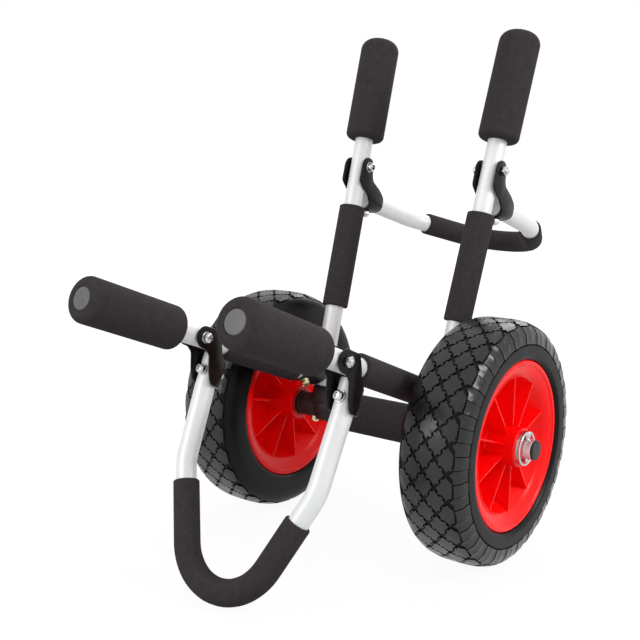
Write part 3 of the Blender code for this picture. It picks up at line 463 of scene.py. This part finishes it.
def build_rim(side_name, first_angle, wheel):
    """Dished rim with rounded lips, ten thin fins on each face and a long hub."""
    outer = rounded([(0.0940, 0.0366, 0.0), (0.0968, 0.0372, 0.001), (0.0985, BEAD_PLANE, 0.0012),
                     (0.1030, BEAD_PLANE, 0.0014), (BEAD_RADIUS, 0.0368, 0.0), (0.1030, 0.0360, 0.0),
                     (0.0930, 0.0358, 0.0), (0.0930, 0.0280, 0.0), (0.0750, 0.0140, 0.0)])
    dish = [(0.0830, 0.0320), (0.0818, 0.0300), (0.0680, 0.0092), (0.0665, 0.0082), (0.0640, 0.0080),
            (0.0250, 0.0080)]
    outline = outer + flipped(outer)
    outline += [(radius, -height) for radius, height in dish + hub_outline(HUB_INNER_END)]
    outline += reversed(dish + hub_outline(HUB_OUTER_END))
    shape = bmesh.new()
    turn(shape, outline, Matrix.Identity(4), 120)
    for k in range(FIN_COUNT):
        spin = Matrix.Rotation(math.radians(first_angle + 360.0 * k / FIN_COUNT), 4, "Z")
        for way in (-1.0, 1.0):
            fin = [(0.0215, way * 0.006), (0.0700, way * 0.006), (0.0852, way * 0.0318),
                   (0.0215, way * 0.0322)]
            upright = spin @ Matrix.Rotation(math.radians(90.0), 4, "X")
            prism(shape, fin, -FIN_HALF_THICKNESS, FIN_HALF_THICKNESS, upright, 0.0005)
    bmesh.ops.transform(shape, matrix=wheel, verts=shape.verts)
    piece(f"rim_shell_{side_name}", shape, f"wheel_{side_name}", red_polypropylene,
          (f"rim_{side_name}",), 40.0)


for side_name, side in SIDES:
    wheel = on_axle(side, WHEEL_X)
    build_tyre(side_name, wheel)
    build_rim(side_name, FIN_ANGLE_RIGHT if side > 0.0 else -FIN_ANGLE_LEFT, wheel)
    for label, low, high in (("outer", 0.0270, 0.0442), ("inner", -0.0482, -0.0170)):
        lump(f"bush_{label}_{side_name}", ring_outline(0.01237, 0.0160, low, high, 0.0004), wheel,
             f"wheel_{side_name}", natural_nylon, (f"hub_bush_{label}_{side_name}",), 48)


# Axle

SHAFT_RADIUS = 0.01225
SHAFT_BORE = 0.01025
SHAFT_END = 0.229
CAP_TOP = 0.2323
CAP_FOOT = 0.2293
CAP_STEM_RADIUS = 0.0099
CAP_STEM_END = 0.2233
AXLE_TUBE_RADIUS = 0.0160
AXLE_TUBE_BORE = 0.01255
AXLE_FOAM_RADIUS = 0.0255
RING_RADIUS = 0.0196
WIRE_RADIUS = 0.0014
# Other than in the CAD source, as the photo shows at high zoom
AXLE_TUBE_END = 0.1109
SPACER = (0.1112, 0.1190)
AXLE_FOAM_END = 0.0620

lump("axle_inner_tube", ring_outline(SHAFT_BORE, SHAFT_RADIUS, -SHAFT_END, SHAFT_END, 0.0005), on_axle(),
     "frame", plated_axle, ("axle_shaft",))
# The axle tube's coat carries painted light that lifts it out of the shade under the bumpers
lump("axle_outer_tube", ring_outline(AXLE_TUBE_BORE, AXLE_TUBE_RADIUS, -AXLE_TUBE_END, AXLE_TUBE_END, 0.0012),
     on_axle(), "frame", axle_coat_painted_light, ("axle_tube",))
foam = rounded([(AXLE_TUBE_RADIUS + 0.0003, AXLE_FOAM_END, 0.0), (AXLE_FOAM_RADIUS, AXLE_FOAM_END, 0.004),
                (AXLE_FOAM_RADIUS, -AXLE_FOAM_END, 0.004), (AXLE_TUBE_RADIUS + 0.0003, -AXLE_FOAM_END, 0.0)])
lump("axle_pad", foam, on_axle(), "frame", cell_foam, ("axle_foam",))
for side_name, side in SIDES:
    lump(f"wheel_spacer_{side_name}", ring_outline(AXLE_TUBE_BORE, 0.0165, *SPACER, 0.0008), on_axle(side),
         "frame", black_nylon, (f"axle_spacer_{side_name}",))
    cap = rounded([(0.0, CAP_TOP, 0.0), (SHAFT_RADIUS, CAP_TOP, 0.0018), (SHAFT_RADIUS, CAP_FOOT, 0.0),
                   (CAP_STEM_RADIUS, CAP_FOOT, 0.0), (CAP_STEM_RADIUS, CAP_STEM_END, 0.0),
                   (0.0, CAP_STEM_END, 0.0)])
    lump(f"axle_cap_{side_name}", cap, on_axle(side), "frame", black_nylon,
         (f"axle_plug_{side_name}",))
    pin = rounded([(0.0, 0.0215, 0.0), (0.0044, 0.0215, 0.0018), (0.0044, 0.0147, 0.0010),
                   (0.0030, 0.0147, 0.0), (0.0030, -0.0165, 0.0014), (0.0, -0.0165, 0.0)])
    lump(f"pin_{side_name}", pin, place(AXLE + X * side * PIN_X, (0, 0, 1)), "frame", zinc_plate,
         (f"lock_pin_{side_name}",), 32)
    around = [math.tau * a / 12 for a in range(12)]
    wire = [(RING_RADIUS + WIRE_RADIUS * math.cos(a), WIRE_RADIUS * math.sin(a)) for a in around]
    lump(f"wire_ring_{side_name}", wire, on_axle(side, PIN_X), f"ring_{side_name}", zinc_plate,
         (f"lock_ring_{side_name}",), 72)


# Side frames

SLEEVE_RADIUS = 0.0174
SLEEVE_EDGE = 0.0022
PAD_BORE = 0.0125
UPRIGHT_SLEEVE = (0.0993, 0.2399)
FAT_RADIUS = 0.0262
GRIP = (0.3353, 0.4765)
BUMPER = (0.2915, 0.4297)
PLUG_TOP = 0.4302
PLUG_RADIUS = 0.0131
HINGE_GAP = 0.0003
# Other than in the CAD source, as the photo shows at high zoom: the arm's sleeve, the elbow and the saddle
ARM_SLEEVE = (0.0655, 0.2055)
ELBOW_RADIUS = 0.0145
ELBOW_BEND = 0.027
ELBOW_ON_ARM = 0.0545
ELBOW_ON_UPRIGHT = 0.0450
TUBE_START = 0.0290
SCREW_REACH = 0.0140
SCREW_TURN = math.radians(35.0)
SADDLE_LENGTH = 0.030
SADDLE_HALF_DEPTH = 0.018
SADDLE_TOP = 0.0278
COLLAR = (0.0625, 0.0840)


def bolt(name, seat, direction, grip, body, node, head=0.0060, washer=0.0069, nut=True, look=zinc_plate):
    """A socket-head bolt, its washer on seat, and at the far end a hexagon nut and a short thread end."""
    socket, thread, top = 0.0036, 0.0036, -0.0076
    matrix = place(seat, direction)
    shape = bmesh.new()
    turn(shape, rounded([(0.0, 0.001, 0.0), (washer, 0.0, 0.0), (washer, -0.0014, 0.0004),
                         (0.0, -0.0014, 0.0)]), matrix, 40)
    turn(shape, rounded([(0.0030, -0.0013, 0.0), (head, -0.0013, 0.0), (head, -0.0058, 0.0016),
                         (head - 0.0022, top, 0.0008), (0.0034, top, 0.0), (0.0034, -0.0048, 0.0)],
                        18.0), matrix, 40)
    prism(shape, hexagon(socket), -0.0050, -0.0044, matrix)
    inner, outer = hexagon(socket), hexagon(socket * 1.10)
    for k in range(6):
        j = (k + 1) % 6
        prism(shape, [inner[k], inner[j], outer[j], outer[k]], -0.0074, -0.0045, matrix)
    if nut:
        far = place(Vector(seat) + Vector(direction).normalized() * grip, direction)
        turn(shape, rounded([(0.0, -0.0005, 0.0), (thread, -0.0005, 0.0), (thread, 0.0080, 0.0009),
                             (0.0, 0.0080, 0.0)]), far, 32)
        prism(shape, hexagon(0.0065), 0.0003, 0.0062, far, 0.0006)
    return piece(name, shape, body, look, (node,), 35.0)


def direction_up(side):
    """Unit vector up one upright."""
    level = math.cos(UPRIGHT_SPLAY)
    return Vector((side * math.sin(UPRIGHT_SPLAY), level * math.sin(UPRIGHT_LEAN),
                   level * math.cos(UPRIGHT_LEAN)))


def direction_out(side):
    """Unit vector out along one arm."""
    level = math.cos(ARM_SPLAY)
    return Vector((side * math.sin(ARM_SPLAY), -level * math.cos(ARM_RISE), level * math.sin(ARM_RISE)))


def sleeve_outline(low, high):
    """Outline of a slim foam sleeve."""
    return rounded([(PAD_BORE, high, 0.0), (SLEEVE_RADIUS, high, SLEEVE_EDGE),
                    (SLEEVE_RADIUS, low, SLEEVE_EDGE), (PAD_BORE, low, 0.0)], 9.0)


def fat_outline(low, high, top_edge, opening, end_wall):
    """Outline of a fat foam grip or bumper; its end has an opening of that radius, or none."""
    return rounded([(opening, high, 0.0), (FAT_RADIUS, high, top_edge), (FAT_RADIUS, low, 0.0070),
                    (PAD_BORE, low, 0.0), (PAD_BORE, high - end_wall, 0.0),
                    (opening, high - end_wall, 0.0)], 9.0)


def build_side_frame(side_name, side):
    """Upright, arm, their foam, the elbow that joins them and its screws."""
    corner = CORNER + X * side * CORNER_X
    up, out = direction_up(side), direction_out(side)
    up_place, out_place = place(corner, up), place(corner, out)
    for name, node, where, end in (("upright_tube", "upright", up_place, UPRIGHT_END),
                                   ("arm_tube", "arm", out_place, ARM_END)):
        lump(f"{name}_{side_name}", ring_outline(TUBE_BORE, TUBE_RADIUS, TUBE_START, end), where, "frame",
             anodised_aluminium, (f"{node}_{side_name}",))
    for name, node, where, outline in (
            ("upright_pad", "upright_sleeve", up_place, sleeve_outline(*UPRIGHT_SLEEVE)),
            ("arm_pad", "arm_sleeve", out_place, sleeve_outline(*ARM_SLEEVE)),
            ("grip_pad", "grip", up_place, fat_outline(*GRIP, 0.0150, 0.0, 0.0100)),
            ("bumper_pad", "bumper", out_place, fat_outline(*BUMPER, 0.0085, 0.0134, 0.0060))):
        lump(f"{name}_{side_name}", outline, where, "frame", cell_foam,
                       (f"{node}_{side_name}",), 72)
    plug = rounded([(0.0, PLUG_TOP, 0.0), (PLUG_RADIUS, PLUG_TOP, 0.0016), (PLUG_RADIUS, 0.4240, 0.0),
                    (0.0104, 0.4240, 0.0), (0.0104, 0.4100, 0.0), (0.0, 0.4100, 0.0)])
    lump(f"end_plug_{side_name}", plug, out_place, "frame", grey_polyethylene,
         (f"bumper_plug_{side_name}",))

    # Elbow: one smooth bend from the arm to the upright, whose bare foot stands on the saddle behind the heel
    foot = [(0.0, -0.0005), (0.0121, -0.0005), (0.0121, -0.0140), (0.0, -0.0140)]
    lump(f"upright_foot_{side_name}", foot, place(corner, saddle_up), "frame", anodised_aluminium)
    lean = up.angle(out)
    arm_end = (ELBOW_ON_ARM * math.sin(lean), ELBOW_ON_ARM * math.cos(lean), 0.0)
    path = rounded([arm_end, (0.0, 0.0, ELBOW_BEND), (0.0, ELBOW_ON_UPRIGHT, 0.0)], 5.0)
    build_bar(f"elbow_shell_{side_name}", path, ELBOW_RADIUS, place(corner, up, out), "frame", black_nylon,
              f"elbow_{side_name}", 0.0010)

    # The arm's screw sits below, turned inboard, and the upright's screw behind
    under = X.cross(Vector((0.0, out.y, out.z))).normalized()
    under = Matrix.Rotation(-side * SCREW_TURN, 3, out) @ under
    behind = Vector((0.0, up.y, up.z)).cross(X).normalized()
    for label, way, normal, distance in (("arm", out, under, 0.046), ("upright", up, behind, 0.033)):
        seat = corner + way * distance + normal * SCREW_REACH
        bolt(f"fixing_{label}_{side_name}", seat, -normal, 0.0, "frame",
             f"elbow_screw_{label}_{side_name}", 0.0052, 0.0055, False, yellow_zinc)


def build_saddle(side_name, side):
    """Saddle block, inboard of the elbow's middle, with its collar and the bolt from below."""
    base = AXLE + X * side * CORNER_X
    shape = bmesh.new()
    low, high = sorted((0.0, -side * SADDLE_LENGTH))
    block = [(low, -SADDLE_HALF_DEPTH), (high, -SADDLE_HALF_DEPTH), (high, SADDLE_HALF_DEPTH),
             (low, SADDLE_HALF_DEPTH)]
    prism(shape, block, 0.002, SADDLE_TOP, place(base, saddle_up), 0.003)
    turn(shape, ring_outline(0.0163, 0.0190, *COLLAR, 0.0012), on_axle(side), 64)
    piece(f"saddle_block_{side_name}", shape, "frame", black_nylon,
          (f"saddle_{side_name}",), 35.0)
    bolt(f"saddle_fixing_{side_name}", base - saddle_up * 0.0142, saddle_up, 0.0, "frame",
         f"saddle_bolt_{side_name}", nut=False, look=yellow_zinc)


front_pivot = CORNER + ARM_PIVOT * direction_out(1.0)
rear_pivot = CORNER + UPRIGHT_PIVOT * direction_up(1.0)
saddle_up = (CORNER - AXLE).normalized()

for side_name, side in SIDES:
    build_side_frame(side_name, side)
    build_saddle(side_name, side)
    for label, pivot in (("front", front_pivot), ("rear", rear_pivot)):
        seat = Vector((side * (PIVOT_X - EAR_OUTER - HINGE_GAP), pivot.y, pivot.z))
        bolt(f"hinge_bolt_{label}_{side_name}", seat, X * side, 2.0 * (EAR_OUTER + HINGE_GAP), "frame",
             f"pivot_bolt_{label}_{side_name}")


# Stands

# Outline of a bracket's ear as (inward, outward, radius) from its pivot
EAR = ((0.0400, 0.0500, 0.0), (0.0335, 0.0500, 0.006), (0.0285, 0.0450, 0.006), (0.0230, 0.0360, 0.020),
       (0.0155, 0.0175, 0.008), (0.0070, 0.0130, 0.008), (-0.0128, 0.0130, 0.0128),
       (-0.0128, -0.0130, 0.0128), (0.0220, -0.0140, 0.008), (0.0315, 0.0000, 0.008),
       (0.0360, 0.0090, 0.003), (0.0400, 0.0130, 0.0))
WEB_STEPS = 24
WEB_DEPTH = 0.0148
WEB_SQUARENESS = 0.80
WEB_TOP = 0.0130
WEB_TOP_SLOPE = 0.875
WEB_FOOT = 0.0500
WEB_FOOT_RADIUS = 0.0100
WEB_FOOT_FROM = 0.0460
LEG_BOLT = 0.0335
V_SLOPE = math.tan(math.radians(22.36))
BEND = (0.0972, 0.1433)
APEX = BEND[1] + BEND[0] / V_SLOPE
STAND_FOAM_RADIUS = 0.0155
# Where the legs begin: the rear ones end deeper inside their channels
LEG_STARTS = {"front": 0.0122, "rear": 0.0205}
# Where the foam begins on the left and right leg
FOAM_STARTS = {"front": (0.1655, 0.1760), "rear": (0.1720, 0.1660)}


def build_bracket(label, side_name, centre, inward, outward):
    """Pressed sheet: two ears joined by a half-round web behind the leg."""
    shape = bmesh.new()
    across = inward.cross(outward)
    ear = rounded(EAR, 10.0)

    def spot(x, p, q):
        return shape.verts.new(centre + across * x + inward * p + outward * q)

    tops, bottoms = [], []
    for k in range(WEB_STEPS + 1):
        angle = math.pi * k / WEB_STEPS
        p = STAND_OFFSET + WEB_DEPTH * math.sin(angle) ** WEB_SQUARENESS
        low = WEB_FOOT
        if p >= WEB_FOOT_FROM:
            drop = math.sqrt(max(0.0, WEB_FOOT_RADIUS ** 2 - (p - WEB_FOOT_FROM) ** 2))
            low = WEB_FOOT - WEB_FOOT_RADIUS + drop
        x = math.copysign(EAR_OUTER * abs(math.cos(angle)) ** WEB_SQUARENESS, math.cos(angle))
        tops.append(spot(x, p, WEB_TOP + (p - STAND_OFFSET) * WEB_TOP_SLOPE))
        bottoms.append(spot(x, p, low))
    for k in range(WEB_STEPS):
        shape.faces.new((tops[k], tops[k + 1], bottoms[k + 1], bottoms[k]))
    for x, k in ((EAR_OUTER, 0), (-EAR_OUTER, WEB_STEPS)):
        shape.faces.new([bottoms[k]] + [spot(x, p, q) for p, q in ear[1:-1]] + [tops[k]])
    channel = piece(f"channel_{label}_{side_name}", shape, f"stand_{label}", powder_coat,
                    (f"bracket_{label}_{side_name}",), 30.0)
    wall = channel.modifiers.new("sheet", "SOLIDIFY")
    wall.thickness = EAR_SHEET
    wall.offset = -1.0
    wall.use_even_offset = True
    edge = channel.modifiers.new("edge", "BEVEL")
    edge.width = 0.0005
    edge.segments = 2
    edge.limit_method = "ANGLE"
    edge.angle_limit = math.radians(50.0)


def build_stand(label, pivot, inward, outward):
    """U bar with its foam, two channels and two leg bolts."""
    body = f"stand_{label}"
    face = Matrix((inward.cross(outward), inward, outward)).transposed().to_4x4()
    face.translation = Vector((0.0, pivot.y, pivot.z)) + inward * STAND_OFFSET
    half = [(PIVOT_X, LEG_STARTS[label], 0.0), (PIVOT_X, 0.050, 0.060), (*BEND, 0.074)]
    path = rounded(half + [(0.0, APEX, 0.0655)] + [(-x, s, r) for x, s, r in reversed(half)], 4.0)
    build_bar(f"{label}_bar", path, TUBE_RADIUS, face, body, anodised_aluminium,
              f"{label}_stand")
    # The path runs from its own +x leg to its -x leg, and its x may point left
    left, right = FOAM_STARTS[label]
    first, last = (right, left) if face.col[0].x > 0.0 else (left, right)
    foam = [(BEND[0] - (first - BEND[1]) * V_SLOPE, first)]
    foam += [(x, s) for x, s in path if s > (first if x > 0.0 else last) + 0.002]
    foam += [((last - BEND[1]) * V_SLOPE - BEND[0], last)]
    build_bar(f"{label}_bar_pad", foam, STAND_FOAM_RADIUS, face, body, cell_foam,
                        f"{label}_stand_foam", 0.0018)
    for side_name, side in SIDES:
        hinge = Vector((side * PIVOT_X, pivot.y, pivot.z))
        build_bracket(label, side_name, hinge, inward, outward)
        seat = hinge + inward * (STAND_OFFSET - TUBE_RADIUS - HINGE_GAP) + outward * LEG_BOLT
        bolt(f"leg_bolt_{label}_{side_name}", seat, inward, TUBE_RADIUS + WEB_DEPTH + HINGE_GAP, body,
             f"stand_bolt_{label}_{side_name}")


front_out = Vector((0.0, -math.sin(FRONT_STAND_ANGLE), -math.cos(FRONT_STAND_ANGLE)))
rear_out = Vector((0.0, math.sin(REAR_STAND_ANGLE), -math.cos(REAR_STAND_ANGLE)))
build_stand("front", front_pivot, Vector((0.0, -front_out.z, front_out.y)), front_out)
build_stand("rear", rear_pivot, Vector((0.0, rear_out.z, -rear_out.y)), rear_out)


# Floor, light and camera

FLOOR_HALF_SIZE = 12.0
FLOOR_GLOW = 1.1
# The floor shows this share of white near the object, and only white from the second distance on
SHADE_DISTANCES = (0.5, 1.6)
SHADE_SHARES = (0.85, 1.0)
WORLD_FILL = 0.84
WHITE = (1.0, 1.0, 1.0, 1.0)
# Name, power in watts, size and place
LAMPS = (("key", 16.0, 0.9, (-0.90, -2.20, 1.25)), ("side", 21.0, 0.8, (2.02, 0.42, 1.42)),
         ("back", 15.0, 1.2, (-0.39, 2.20, 1.55)))
LAMP_TARGET = Vector((0.0, 0.0, 0.25))


def maths(tree, operation, first, second):
    """A math node on two outputs."""
    return add_node(tree, "ShaderNodeMath", None, {0: first, 1: second}, operation=operation).outputs[0]


def seen(tree):
    """1 for the rays that look at the background: camera, glossy and transmission rays."""
    ray = add_node(tree, "ShaderNodeLightPath").outputs
    direct = maths(tree, "MAXIMUM", ray["Is Camera Ray"], ray["Is Glossy Ray"])
    return maths(tree, "MAXIMUM", direct, ray["Is Transmission Ray"])


floor = bpy.data.objects.new("floor", bpy.data.meshes.new("floor"))
ground = bmesh.new()
bmesh.ops.create_grid(ground, x_segments=1, y_segments=1, size=FLOOR_HALF_SIZE)
ground.to_mesh(floor.data)
ground.free()
bpy.context.scene.collection.objects.link(floor)
# Studio paper: matt, pale grey to the light, white to the eye but for a faint shadow beneath the object
floor_look = bpy.data.materials.new("studio_floor")
floor_look.use_nodes = True
tree = floor_look.node_tree
paper = tree.nodes["Principled BSDF"]
paper.inputs["Base Color"].default_value = linear("#b4b4b4")
paper.inputs["Roughness"].default_value = 0.9
glow = add_node(tree, "ShaderNodeEmission", {"Color": WHITE, "Strength": FLOOR_GLOW})
floor_spot = add_node(tree, "ShaderNodeTexCoord").outputs["Object"]
away = add_node(tree, "ShaderNodeVectorMath", None, {0: floor_spot}, operation="LENGTH")
white = add_node(tree, "ShaderNodeMapRange",
                 {"From Min": SHADE_DISTANCES[0], "From Max": SHADE_DISTANCES[1],
                  "To Min": SHADE_SHARES[0], "To Max": SHADE_SHARES[1]}, {"Value": away.outputs["Value"]})
share = maths(tree, "MULTIPLY", seen(tree), white.outputs["Result"])
mixed = add_node(tree, "ShaderNodeMixShader", None, {0: share, 1: paper.outputs[0], 2: glow.outputs[0]})
tree.links.new(mixed.outputs[0], tree.nodes["Material Output"].inputs["Surface"])
floor.data.materials.append(floor_look)

world = bpy.data.worlds.new("studio")
bpy.context.scene.world = world
world.use_nodes = True
tree = world.node_tree
strength = add_node(tree, "ShaderNodeMapRange", {"To Min": WORLD_FILL, "To Max": 1.0}, {"Value": seen(tree)})
tree.nodes["Background"].inputs["Color"].default_value = WHITE
tree.links.new(strength.outputs["Result"], tree.nodes["Background"].inputs["Strength"])

for name, power, size, spot in LAMPS:
    lamp = bpy.data.lights.new(name, "AREA")
    lamp.energy = power
    lamp.size = size
    holder = bpy.data.objects.new(name, lamp)
    bpy.context.scene.collection.objects.link(holder)
    holder.matrix_world = place(spot, Vector(spot) - LAMP_TARGET)

camera_data = bpy.data.cameras.new("camera")
camera_data.sensor_width = 36.0
camera_data.lens = 57.58
camera_data.shift_x = 0.03585
camera_data.shift_y = 0.0459
camera = bpy.data.objects.new("camera", camera_data)
bpy.context.scene.collection.objects.link(camera)
camera_right = Vector((0.782817, 0.622225, 0.005777))
camera_up = Vector((-0.131553, 0.156418, 0.978891))
camera_back = Vector((0.608186, -0.767053, 0.204302))
camera.matrix_world = Matrix((camera_right, camera_up, camera_back)).transposed().to_4x4()
camera.matrix_world.translation = Vector((0.72717, -1.06491, 0.51041))
bpy.context.scene.camera = camera
bpy.context.scene.view_settings.view_transform = "Standard"
